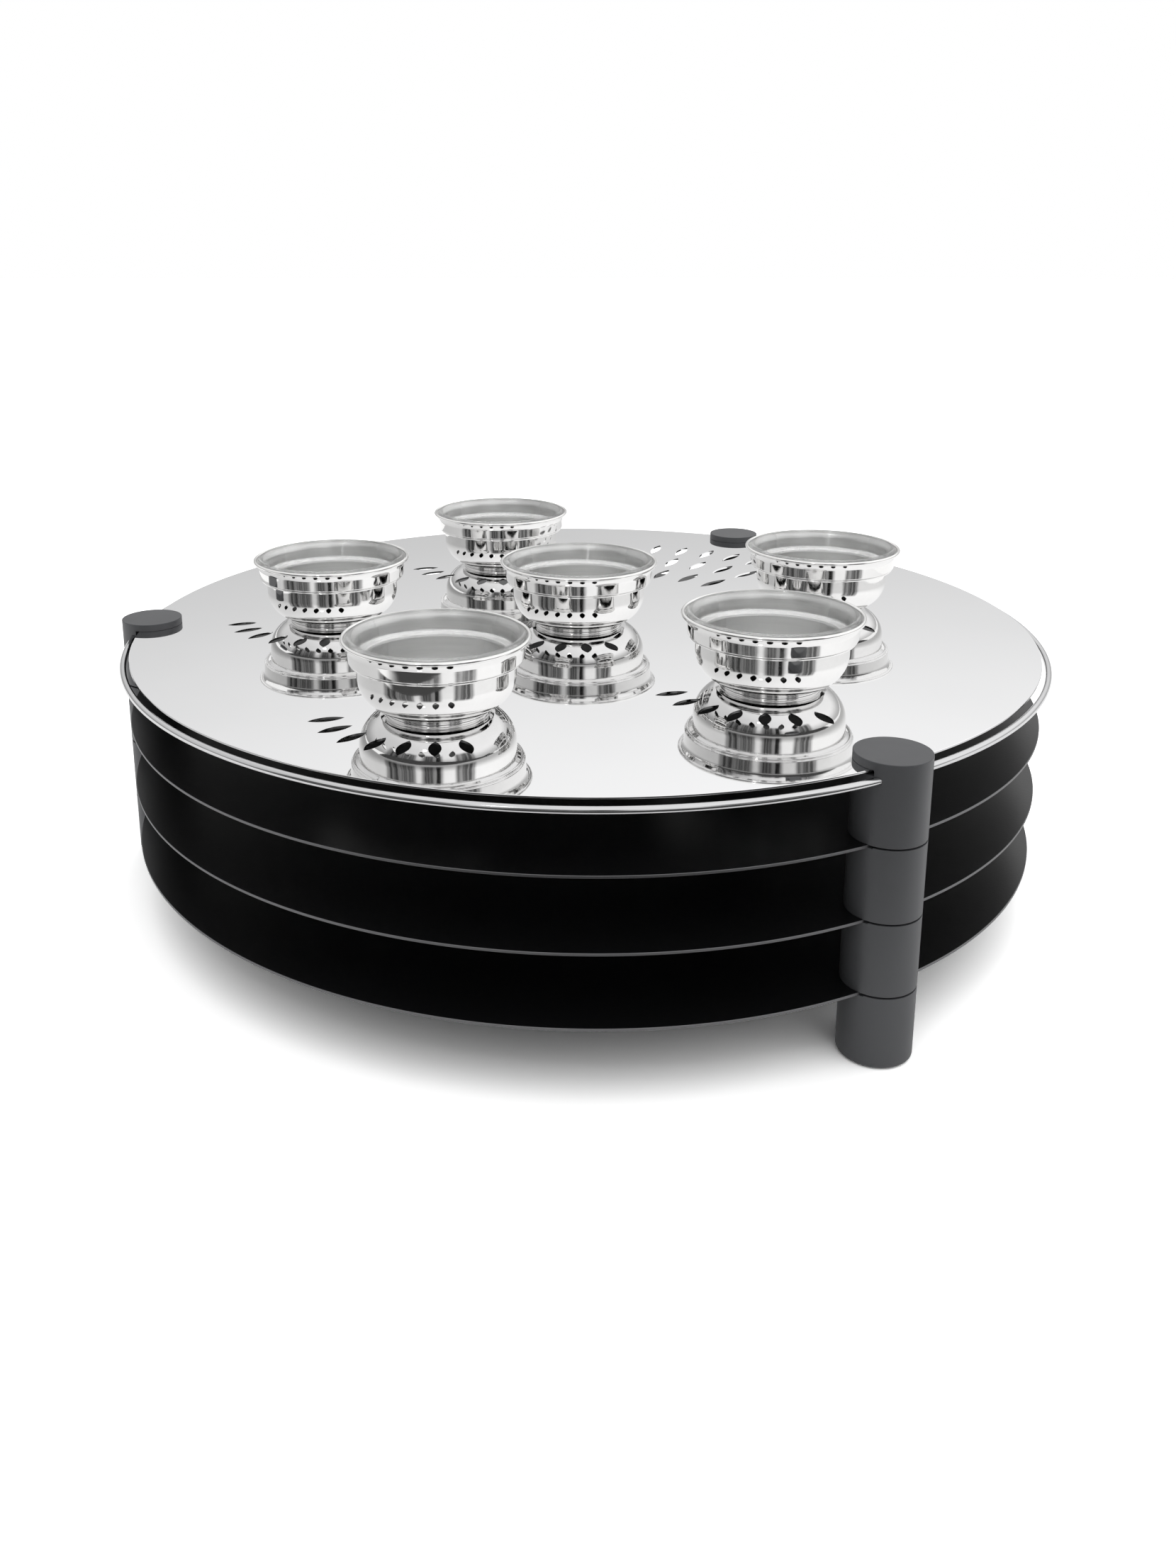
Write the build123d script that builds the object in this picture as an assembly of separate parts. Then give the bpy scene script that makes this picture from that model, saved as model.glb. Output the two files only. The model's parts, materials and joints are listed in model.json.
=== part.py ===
from build123d import *
import os
from math import asin, degrees

# All sizes are millimetres and degrees. +Z is up, and the origin is on the floor,
# in the middle of the stand.

# Three turned posts carry the tiers
post_radius = 12.5
post_reach = 184.0
first_post_bearing = -45.0
post_names = ["front_right", "back_right", "left"]
tier_pitch = 26.0
tier_count = 3
seam_gap = 0.65
foot_rounding = 1.2
clamp_body_height = 23.25
cap_thickness = 2.9
cap_rounding = 0.3

# Thin shelves that the posts pinch at their seams
shelf_names = ["lower_shelf", "middle_shelf", "upper_shelf"]
shelf_past_post_axis = 4.0
shelf_thickness = 1.0
shelf_end_clearance = 1.0

# Polished plate in the kerfs under the post caps, on one thin pad in each kerf
plate_past_post_axis = 3.0
plate_thickness = 0.8
plate_end_clearance = 1.0
plate_pad_radius = 5.0
plate_pad_thickness = 1.0
plate_pad_setback = 5.0

# Rod ring through the posts, with its butt joint hidden in the last post
ring_past_post_axis = 5.5
ring_below_kerf = 1.3
rod_radius = 1.3
ring_clearance = 0.05
ring_joint_gap = 0.4

# Screw through each post and pad under each foot
screw_radius = 2.0
screw_head_radius = 3.5
screw_head_height = 4.0
screw_head_room = 0.5
screw_clearance = 0.25
thread_length = 14.0
thread_clearance = 0.05
thread_runout = 1.5
foot_pad_radius = 9.0
foot_pad_thickness = 1.5
foot_pad_stand = 0.5
foot_pad_clearance = 0.1

# Footed bowl, from the plate upwards: a foot ring, a round belly, an upright side, a step with a bead
# on it, a band that overhangs the side, and a rolled lip.
# The belly's circle dips below the top of the foot ring, so the bowl has a flat underside.
bowl_wall = 1.0
foot_ring_height = 1.7
foot_ring_width = 2.0
foot_ring_top_width = 1.1
foot_flange_height = 0.7
foot_waist = 0.5
foot_inset = 1.9
belly_round = 12.1
belly_centre_reach = 16.0
belly_dip = 0.8
side_height = 4.5
step_height = 1.55
bead_share = 0.65
bead_roll_radius = 0.6
band_overhang = 2.9
band_height = 4.9
band_flare = 0.4
lip_flare = 1.25
lip_neck_height = 2.35
lip_roll_radius = 0.8

# Glass liner that drops into a bowl and stands on the bowl's floor
liner_gap = 0.3
liner_wall = 2.9
liner_rise = 0.5
liner_rim_width = 2.6
liner_ledge_above_step = 1.4
liner_ledge_rise = 1.0
liner_ledge_width = 1.8

# Places of the bowls: how far the axis of each stands in from the plate's rim, and its bearing
left_bowl_setback = 79.7
left_bowl_bearing = 189.6
front_bowl_setback = 65.8
front_bowl_bearing = -101.8
right_bowl_setback = 79.5
right_bowl_bearing = -36.3
back_right_bowl_setback = 75.6
back_right_bowl_bearing = 27.0
back_left_bowl_setback = 74.8
back_left_bowl_bearing = 122.9

# Pierced leaves: an arc in front of each bowl and a spray of rows near the rim
leaf_length = 13.0
leaf_width = 4.4
leaf_inner_reach = 33.0
leaf_spacing = 15.0
leaves_per_arc = 7
leaf_arc_bearing = -103.0
spray_bearing = 71.5
spray_setback = 36.0
spray_rows = 3
spray_row_pitch = 25.0
spray_leaf_length = 19.0
spray_leaf_spacing = 13.0
spray_inner_row_leaves = 4

# Sizes that follow from the ones above
plate_radius = post_reach + plate_past_post_axis
shelf_radius = post_reach + shelf_past_post_axis
ring_radius = post_reach + ring_past_post_axis
post_spacing = 360.0 / len(post_names)
shelf_rebate = shelf_thickness - seam_gap
clamp_base = tier_count * tier_pitch + seam_gap
kerf_floor = clamp_base + clamp_body_height
plate_base = kerf_floor + plate_pad_thickness
plate_top = plate_base + plate_thickness
stand_height = plate_top + cap_thickness
ring_height = kerf_floor - ring_below_kerf
screw_seat = foot_pad_thickness + screw_head_room + screw_head_height
bowl_floor = foot_ring_height + bowl_wall
belly_centre_height = foot_ring_height + belly_round - belly_dip
side_reach = belly_centre_reach + belly_round
step_base = belly_centre_height + side_height
band_base = step_base + step_height
band_base_reach = side_reach + band_overhang
band_top = band_base + band_height
band_top_reach = band_base_reach + band_flare
lip_reach = band_top_reach + lip_flare
lip_height = band_top + lip_neck_height
lip_inside = lip_reach - lip_roll_radius
bowl_height = lip_height + lip_roll_radius
spray_inner_reach = plate_radius - spray_setback - spray_leaf_length - (spray_rows - 1) * spray_row_pitch


def on_post(shape, bearing):
    """Carry a shape from the local frame of a post, +X outwards, to its place."""
    return Rot(0, 0, bearing) * Pos(post_reach, 0, 0) * shape


def upright(radius, low, high):
    """A round bar about Z between two heights."""
    return Pos(0, 0, low) * Cylinder(radius, high - low, align=(Align.CENTER, Align.CENTER, Align.MIN))


def inner_side(edge_reach, low, high):
    """A block that takes away the inner side of a post out to a reach from the stand's axis."""
    far_side = edge_reach - post_reach
    depth = far_side + 2 * post_radius
    block = Box(depth, 4 * post_radius, high - low, align=(Align.MAX, Align.CENTER, Align.MIN))
    return Pos(far_side, 0, low) * block


def shelf_seat(seat_height):
    """The rebate in the top of a post segment for a shelf's edge."""
    return inner_side(shelf_radius + shelf_end_clearance, seat_height - shelf_rebate, seat_height + seam_gap)


def make_foot():
    """Lowest segment, rounded at the floor, holding the screw head and the foot pad."""
    body = upright(post_radius, foot_pad_stand, tier_pitch)
    floor_edge = body.edges().filter_by(GeomType.CIRCLE).sort_by(Axis.Z)[0]
    body = fillet(floor_edge, foot_rounding)
    pad_recess = upright(foot_pad_radius + foot_pad_clearance, 0, foot_pad_thickness)
    head_recess = upright(screw_head_radius + screw_clearance, 0, screw_seat)
    screw_hole = upright(screw_radius + screw_clearance, 0, tier_pitch)
    return body - pad_recess - head_recess - screw_hole - shelf_seat(tier_pitch)


def make_spacer(tier):
    """Segment between two shelves."""
    low = tier * tier_pitch + seam_gap
    high = (tier + 1) * tier_pitch
    screw_hole = upright(screw_radius + screw_clearance, low, high)
    return upright(post_radius, low, high) - screw_hole - shelf_seat(high)


def make_ring_bore():
    """The curved hole that the rod ring takes through a post."""
    half_sweep = degrees(asin(2 * post_radius / ring_radius))
    section = Plane.XZ * Pos(ring_radius, ring_height) * Circle(rod_radius + ring_clearance)
    bore = revolve(section, Axis.Z, 2 * half_sweep)
    return Pos(-post_reach, 0, 0) * Rot(0, 0, -half_sweep) * bore


def make_clamp():
    """Top segment: body, kerf for the plate and the cap in one piece."""
    body = upright(post_radius, clamp_base, stand_height)
    cap_edge = body.edges().filter_by(GeomType.CIRCLE).sort_by(Axis.Z)[-1]
    body = fillet(cap_edge, cap_rounding)
    kerf = inner_side(plate_radius + plate_end_clearance, kerf_floor, plate_top)
    thread_top = clamp_base + thread_length + thread_runout
    tapped_hole = upright(screw_radius + thread_clearance, clamp_base, thread_top)
    return body - kerf - tapped_hole - make_ring_bore()


def make_screw():
    """Socket screw from the foot's recess up into the clamp."""
    head = upright(screw_head_radius, screw_seat - screw_head_height, screw_seat)
    shank = upright(screw_radius, screw_seat, clamp_base + thread_length)
    return head + shank


def make_foot_pad():
    """Soft disc under a foot."""
    return upright(foot_pad_radius, 0, foot_pad_thickness)


def make_plate_pad():
    """Thin pad in a kerf that lifts the plate against the cap."""
    return Pos(-plate_pad_setback, 0, 0) * upright(plate_pad_radius, kerf_floor, plate_base)


def make_shelf(tier):
    """Shelf disc with a clearance hole for each screw."""
    low = tier * tier_pitch - shelf_rebate
    high = tier * tier_pitch + seam_gap
    shelf = upright(shelf_radius, low, high)
    for index in range(len(post_names)):
        hole = upright(screw_radius + screw_clearance, low, high)
        shelf -= on_post(hole, first_post_bearing + index * post_spacing)
    return shelf


def make_ring():
    """Rod ring, open by a hair inside the last post."""
    gap_angle = degrees(ring_joint_gap / ring_radius)
    joint_bearing = first_post_bearing + (len(post_names) - 1) * post_spacing
    section = Plane.XZ * Pos(ring_radius, ring_height) * Circle(rod_radius)
    rod = revolve(section, Axis.Z, 360 - gap_angle)
    return Rot(0, 0, joint_bearing + gap_angle / 2) * rod


def leaf(length):
    """Pointed oval along +X from the origin, drawn with two arcs."""
    half_width = leaf_width / 2
    upper = ThreePointArc((0, 0), (length / 2, half_width), (length, 0))
    lower = ThreePointArc((length, 0), (length / 2, -half_width), (0, 0))
    return make_face(upper + lower)


def on_plate(bearing, reach):
    """A place on the plate from the stand's axis, with +X outwards."""
    return Rot(0, 0, bearing) * Pos(reach, 0, 0)


def make_plate():
    """Polished disc pierced with leaves."""
    cuts = []
    for reach, bearing in bowl_places.values():
        for index in range(leaves_per_arc):
            turn = leaf_arc_bearing + (index - (leaves_per_arc - 1) / 2) * leaf_spacing
            leaf_place = Rot(0, 0, turn - bearing) * Pos(leaf_inner_reach, 0, 0)
            cuts.append(on_plate(bearing, reach) * leaf_place * leaf(leaf_length))
    for row in range(spray_rows):
        row_reach = spray_inner_reach + row * spray_row_pitch
        leaves = spray_inner_row_leaves + row
        for index in range(leaves):
            side_step = (index - (leaves - 1) / 2) * spray_leaf_spacing
            turn = spray_bearing + degrees(side_step / row_reach)
            cuts.append(on_plate(turn, row_reach) * leaf(spray_leaf_length))
    pierced = Circle(plate_radius) - cuts
    return extrude(Pos(0, 0, plate_base) * pierced, plate_thickness)


def belly_arc(radius, low):
    """A belly arc of the given radius, upwards from a height to its widest place."""
    start = degrees(asin((low - belly_centre_height) / radius))
    return CenterArc((belly_centre_reach, belly_centre_height), radius, start, -start)


def make_bowl():
    """Spun silver bowl about Z, standing at height 0."""
    outside = belly_arc(belly_round, foot_ring_height)
    inside = belly_arc(belly_round - bowl_wall, bowl_floor)
    step = Line((side_reach, step_base), (band_base_reach, band_base))
    # The step slopes, so its upper face is raised to keep the wall from thinning there
    step_lift = bowl_wall / 2
    rim = Polyline(
        outside @ 1,
        step @ 0,
        step @ 1,
        (band_top_reach, band_top),
        (lip_reach, lip_height),
        (lip_inside, lip_height),
        (band_top_reach - bowl_wall, band_top),
        (band_base_reach - bowl_wall, band_base + step_lift),
        (side_reach - bowl_wall, step_base + step_lift),
        inside @ 1,
    )
    floor = Polyline(inside @ 0, (0, bowl_floor), (0, foot_ring_height), outside @ 0)
    wall = make_face(outside + rim + inside + floor)
    lip = Pos(lip_reach, lip_height) * Circle(lip_roll_radius)
    bead = Pos(step @ bead_share) * Circle(bead_roll_radius)
    foot_radius = (outside @ 0).X - foot_inset
    foot_outline = Polyline(
        (foot_radius - foot_ring_width, 0),
        (foot_radius, 0),
        (foot_radius, foot_flange_height),
        (foot_radius - foot_waist, foot_ring_height),
        (foot_radius - foot_waist, foot_ring_height + bowl_wall / 2),
        (foot_radius - foot_waist - foot_ring_top_width, foot_ring_height + bowl_wall / 2),
        close=True,
    )
    profile = wall + lip + bead + make_face(foot_outline)
    return revolve(Plane.XZ * profile, Axis.Z)


def make_liner():
    """Glass dish about Z that fills a bowl with a small gap all round."""
    setback = bowl_wall + liner_gap
    step_lift = bowl_wall
    outside = belly_arc(belly_round - setback, bowl_floor)
    inside = belly_arc(belly_round - setback - liner_wall, bowl_floor + liner_wall)
    rim_outside = lip_inside - liner_gap
    rim_inside = rim_outside - liner_rim_width
    rim_top = bowl_height + liner_rise
    rim_base = rim_top - liner_rim_width / 2
    ledge_reach = side_reach - setback - liner_wall
    ledge_height = step_base + liner_ledge_above_step
    outer_wall = Polyline(
        outside @ 1,
        (side_reach - setback, step_base + step_lift),
        (band_base_reach - setback, band_base + step_lift),
        (band_top_reach - setback, band_top),
        (rim_outside, rim_base),
    )
    rim_middle = (rim_inside + liner_rim_width / 2, rim_top)
    rim = ThreePointArc(outer_wall @ 1, rim_middle, (rim_inside, rim_base))
    inner_wall = Polyline(
        rim @ 1,
        (ledge_reach + liner_ledge_width, ledge_height + liner_ledge_rise),
        (ledge_reach, ledge_height),
        inside @ 1,
    )
    floor = Polyline(inside @ 0, (0, bowl_floor + liner_wall), (0, bowl_floor), outside @ 0)
    profile = make_face(outside + outer_wall + rim + inner_wall + inside + floor)
    return revolve(Plane.XZ * profile, Axis.Z)


bowl_places = {
    "centre": (0, 0),
    "left": (plate_radius - left_bowl_setback, left_bowl_bearing),
    "front": (plate_radius - front_bowl_setback, front_bowl_bearing),
    "right": (plate_radius - right_bowl_setback, right_bowl_bearing),
    "back_right": (plate_radius - back_right_bowl_setback, back_right_bowl_bearing),
    "back_left": (plate_radius - back_left_bowl_setback, back_left_bowl_bearing),
}

nodes = {"rim_ring": make_ring(), "top_plate": make_plate()}

for tier, shelf_name in enumerate(shelf_names, start=1):
    nodes[shelf_name] = make_shelf(tier)

post_pieces = {
    "foot_pad": make_foot_pad(),
    "foot": make_foot(),
    "lower_spacer": make_spacer(1),
    "upper_spacer": make_spacer(2),
    "top_clamp": make_clamp(),
    "tie_screw": make_screw(),
    "plate_pad": make_plate_pad(),
}
for index, post_name in enumerate(post_names):
    for piece_name, piece in post_pieces.items():
        nodes[f"{post_name}_{piece_name}"] = on_post(piece, first_post_bearing + index * post_spacing)

bowl = make_bowl()
liner = make_liner()
for place_name, (reach, bearing) in bowl_places.items():
    standing = on_plate(bearing, reach) * Pos(0, 0, plate_top)
    nodes[f"{place_name}_bowl"] = standing * bowl
    nodes[f"{place_name}_liner"] = standing * liner

os.makedirs("parts", exist_ok=True)
for node_name, shape in nodes.items():
    export_step(shape, f"parts/{node_name}.step")
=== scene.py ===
"""Dresses the frame of a three-tier seder plate: turned posts, black shelves, a pierced mirror plate,
a chrome rim ring and six footed silver bowls with glass liners, on a pale studio floor."""

import json
from math import asin, atan2, cos, hypot, pi, radians, sin

import bpy
from mathutils import Matrix, Vector


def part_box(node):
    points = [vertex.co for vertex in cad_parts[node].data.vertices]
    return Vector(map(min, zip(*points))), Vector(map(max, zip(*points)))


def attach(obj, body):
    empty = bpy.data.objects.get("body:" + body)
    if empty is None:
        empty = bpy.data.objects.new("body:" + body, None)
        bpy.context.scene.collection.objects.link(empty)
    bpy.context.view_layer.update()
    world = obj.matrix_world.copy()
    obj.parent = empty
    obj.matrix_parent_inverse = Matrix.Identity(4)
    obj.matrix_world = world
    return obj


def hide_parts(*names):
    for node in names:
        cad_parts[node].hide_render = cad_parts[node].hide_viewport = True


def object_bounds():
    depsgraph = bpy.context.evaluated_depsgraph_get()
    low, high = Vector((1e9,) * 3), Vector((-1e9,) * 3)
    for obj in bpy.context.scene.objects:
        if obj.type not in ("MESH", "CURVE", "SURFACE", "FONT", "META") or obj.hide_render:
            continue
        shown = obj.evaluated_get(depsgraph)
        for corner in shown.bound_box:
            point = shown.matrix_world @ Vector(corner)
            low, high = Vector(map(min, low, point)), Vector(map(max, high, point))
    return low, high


bl_info = {
    "name": "Tiered seder plate",
    "version": (1, 0, 0),
    "blender": (4, 5, 0),
    "location": "3D View > Sidebar > Seder Plate",
    "description": "Models and finishes a three-tier seder plate on its frame, in a small studio",
    "category": "Add Mesh",
}

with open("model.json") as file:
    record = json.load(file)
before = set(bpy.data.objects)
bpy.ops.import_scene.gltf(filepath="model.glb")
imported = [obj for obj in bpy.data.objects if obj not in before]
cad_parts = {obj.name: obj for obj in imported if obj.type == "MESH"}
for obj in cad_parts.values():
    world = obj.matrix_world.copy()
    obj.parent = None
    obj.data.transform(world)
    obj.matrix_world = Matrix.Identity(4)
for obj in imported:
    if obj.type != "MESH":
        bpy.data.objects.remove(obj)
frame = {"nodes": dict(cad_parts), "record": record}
cad_low, cad_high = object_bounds()

MM = 0.001
MERGE_DISTANCE = 0.0005 * MM
PICK_DISTANCE = 0.01 * MM
SMOOTH_ANGLE = radians(34)
UNDERSIDE_NORMAL = -0.9
INSIDE_LEAN = 0.3
IMAGE_WIDTH = 1659
IMAGE_HEIGHT = 2212
SENSOR_WIDTH = 36.0

POST_NAMES = ("front_right", "back_right", "left")
SHELF_NAMES = ("lower_shelf", "middle_shelf", "upper_shelf")
SHELF_ON = {"foot": "lower_shelf", "lower_spacer": "middle_shelf", "upper_spacer": "upper_shelf"}
BOWL_NAMES = [node[: -len("_bowl")] for node in sorted(frame["nodes"]) if node.endswith("_bowl")]


# Sizes and places that the frame gives

def heights_of(node):
    """Heights of a node's lowest and highest points."""
    low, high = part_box(node)
    return low.z, high.z


def radius_of(node):
    """Radius of a round upright node."""
    low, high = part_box(node)
    return (high.x - low.x) / 2


def middle_of(node):
    """Middle of a node's box."""
    low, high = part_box(node)
    return (low + high) / 2


def body_with(node):
    """Name of the body that a node belongs to."""
    for body, members in frame["record"]["behaviour"]["bodies"].items():
        if node in members:
            return body
    raise KeyError(node)


post_radius = radius_of("left_foot")
post_axes = {post: middle_of(f"{post}_foot") for post in POST_NAMES}
post_reach = hypot(post_axes["left"].x, post_axes["left"].y)
plate_radius = radius_of("top_plate")
plate_base, plate_top = heights_of("top_plate")


# Kinds of setting

def length(name, description, millimetres):
    """A length property, written in millimetres and kept in metres."""
    return bpy.props.FloatProperty(
        name=name, description=description, default=millimetres * MM, precision=5, unit="LENGTH"
    )


def turn_angle(name, description, degrees):
    """An angle property, written in degrees and kept in radians."""
    return bpy.props.FloatProperty(
        name=name, description=description, default=radians(degrees), precision=4, unit="ROTATION"
    )


def count(name, description, number):
    """A whole-number property."""
    return bpy.props.IntProperty(name=name, description=description, default=number, min=1)


def share(name, description, value):
    """A property between 0 and 1."""
    return bpy.props.FloatProperty(
        name=name, description=description, default=value, min=0, max=1, subtype="FACTOR"
    )


def level(name, description, value):
    """A plain number property that isn't negative."""
    return bpy.props.FloatProperty(name=name, description=description, default=value, min=0)


def colour(name, description, red, green, blue):
    """A colour property, in linear light."""
    return bpy.props.FloatVectorProperty(
        name=name, description=description, default=(red, green, blue), size=3, min=0, max=1, subtype="COLOR"
    )


# Settings that a user would change

class StandSizes(bpy.types.PropertyGroup):
    """Sizes of the posts, shelves, ring and pads that the frame's boxes don't give."""

    post_facets: count("Post facets", "Flats round a turned post", 160)
    disc_facets: count("Disc facets", "Flats round a shelf or the plate", 360)
    rod_facets: count("Rod facets", "Flats round the ring's rod", 32)
    foot_rounding: length("Foot rounding", "Radius of each foot's floor edge", 1.2)
    cap_rounding: length("Cap rounding", "Radius of each cap's top edge", 0.3)
    seam_rounding: length("Seam rounding", "Radius of the post edges at the seams", 0.18)
    cap_lip_rounding: length("Cap lip rounding", "Radius of the cap's edge over the plate", 0.25)
    sheet_edge_break: length("Sheet edge break", "Chamfer on the rims of the shelves and the plate", 0.12)
    shelf_end_clearance: length("Shelf end clearance", "Room past a shelf's rim in its rebate", 1.0)
    plate_end_clearance: length("Plate end clearance", "Room past the plate's rim in its kerf", 1.0)
    rod_radius: length("Rod radius", "Radius of the ring's rod", 1.3)
    rod_clearance: length("Rod clearance", "Room round the rod in its bore", 0.05)
    screw_hole_radius: length("Screw hole radius", "Clearance hole for a screw", 2.25)
    thread_hole_radius: length("Thread hole radius", "Tapped hole in a clamp", 2.05)
    thread_hole_depth: length("Thread hole depth", "Depth of the tapped hole in a clamp", 15.5)
    head_hole_radius: length("Head hole radius", "Recess for a screw's head", 3.75)
    head_height: length("Head height", "Height of a screw's head", 4.0)
    pad_clearance: length("Pad clearance", "Room round a foot pad in its recess", 0.1)
    pad_rounding: length("Pad rounding", "Radius of a foot pad's edges", 0.25)
    pad_groove_width: length("Pad groove width", "Width of the grip grooves under a foot pad", 0.9)
    pad_groove_depth: length("Pad groove depth", "Depth of the grip grooves under a foot pad", 0.3)
    pad_grooves: count("Pad grooves", "Grip grooves under a foot pad", 2)


class PiercingSizes(bpy.types.PropertyGroup):
    """Sizes of the leaves that are pierced through the plate."""

    leaf_length: length("Leaf length", "Length of a leaf in the arc before a bowl", 13.0)
    leaf_width: length("Leaf width", "Width of every leaf", 4.4)
    leaf_steps: count("Leaf steps", "Straight steps along each side of a leaf", 14)
    inner_reach: length("Inner reach", "From a bowl's axis to the tips of its leaves", 33.0)
    spacing: turn_angle("Spacing", "Turn from one leaf to the next round a bowl", 15.0)
    per_arc: count("Leaves per arc", "Leaves before each bowl", 7)
    arc_bearing: turn_angle("Arc bearing", "Bearing of the middle leaf from its bowl", -103.0)
    spray_bearing: turn_angle("Spray bearing", "Bearing of the spray from the stand's axis", 71.5)
    spray_setback: length("Spray setback", "From the spray's outer tips to the plate's rim", 36.0)
    spray_rows: count("Spray rows", "Rows of leaves in the spray", 3)
    spray_row_pitch: length("Spray row pitch", "From one row of the spray to the next", 25.0)
    spray_leaf_length: length("Spray leaf length", "Length of a leaf in the spray", 19.0)
    spray_leaf_spacing: length("Spray leaf spacing", "From one leaf to the next along a row", 13.0)
    spray_inner_row: count("Spray inner row", "Leaves in the row nearest the middle", 4)


class BowlSizes(bpy.types.PropertyGroup):
    """Sizes of a footed bowl, from its foot up."""

    facets: count("Facets", "Flats round a bowl and its liner", 192)
    wall: length("Wall", "Thickness of the silver", 1.0)
    edge: length("Edge", "Rounding of the bowl's small edges", 0.25)
    foot_height: length("Foot height", "Height of the foot ring", 1.7)
    foot_width: length("Foot width", "Width of the foot ring on the plate", 2.0)
    foot_top_width: length("Foot top width", "Width of the foot ring under the belly", 1.1)
    foot_flange: length("Foot flange", "Height of the flange at the plate", 0.7)
    foot_waist: length("Foot waist", "How far the foot ring narrows above its flange", 0.5)
    foot_inset: length("Foot inset", "From the belly's lower edge in to the foot ring", 1.9)
    foot_cove: length("Foot cove", "Rounding between the foot ring and the belly", 0.9)
    belly_round: length("Belly round", "Radius of the belly's circle", 12.1)
    belly_centre_reach: length("Belly centre reach", "From the axis to that circle's centre", 16.0)
    belly_dip: length("Belly dip", "How far that circle dips below the foot ring's top", 0.8)
    side_height: length("Side height", "Height of the upright side", 4.5)
    step_height: length("Step height", "Height of the step out to the band", 1.55)
    bead_share: share("Bead share", "How far along the step the bead lies", 0.65)
    bead_roll_radius: length("Bead roll radius", "Radius of the bead's roll", 0.6)
    band_overhang: length("Band overhang", "How far the band stands out from the side", 2.9)
    band_height: length("Band height", "Height of the band", 4.9)
    band_flare: length("Band flare", "How far the band leans out", 0.4)
    lip_flare: length("Lip flare", "How far the lip's roll stands out from the band", 1.25)
    lip_neck_height: length("Lip neck height", "Height of the neck under the lip's roll", 2.35)
    lip_roll_radius: length("Lip roll radius", "Radius of the lip's roll", 0.8)
    neck_curve: share("Neck curve", "Rounding below the neck, as a share of its height", 0.4)


class LinerSizes(bpy.types.PropertyGroup):
    """Sizes of the glass dish in a bowl."""

    gap: length("Gap", "Room between the glass and the silver", 0.3)
    seat_gap: length("Seat gap", "Room under the glass", 0.1)
    wall: length("Wall", "Thickness of the glass", 2.9)
    rise: length("Rise", "How far the glass stands above the bowl's lip", 0.5)
    rim_width: length("Rim width", "Width of the rounded rim", 2.6)
    ledge_above_step: length("Ledge height", "Height of the ledge above the foot of the bowl's step", 1.4)
    ledge_rise: length("Ledge rise", "Slope of the ledge", 1.0)
    ledge_width: length("Ledge width", "Width of the ledge", 1.8)
    ledge_rounding: length("Ledge rounding", "Radius of the ledge's edges", 0.4)


class Finishes(bpy.types.PropertyGroup):
    """Colours and roughness of the finishes."""

    post_grey: colour("Post grey", "Satin paint on the posts", 0.085, 0.087, 0.092)
    post_roughness: share("Post roughness", "Roughness of the posts' paint", 0.45)
    post_metal: share("Post metal", "How metallic the posts' paint looks", 0.25)
    shelf_black: colour("Shelf black", "Powder coat on the shelves", 0.004, 0.004, 0.0045)
    shelf_roughness: share("Shelf roughness", "Roughness of the powder coat", 0.34)
    shelf_shine: share("Shelf shine", "Strength of the powder coat's reflection", 0.5)
    shelf_edge: colour("Shelf edge", "Bare cut edge of a shelf", 0.2, 0.2, 0.205)
    mirror: colour("Mirror", "Polished steel of the plate", 0.88, 0.88, 0.885)
    chrome: colour("Chrome", "Plating on the ring", 0.66, 0.66, 0.665)
    silver: colour("Silver", "Polished silver of the bowls", 0.9, 0.895, 0.885)
    satin_roughness: share("Satin roughness", "Roughness inside the bowls, under the liners", 0.32)
    glass: colour("Glass", "Tint of the liners", 0.97, 0.98, 0.98)
    glass_body: share("Glass body", "How solid the glass is: other light goes straight through", 0.52)
    rubber: colour("Rubber", "Foot pads and plate pads", 0.025, 0.025, 0.027)
    screw_steel: colour("Screw steel", "Tie screws", 0.55, 0.55, 0.56)


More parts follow.
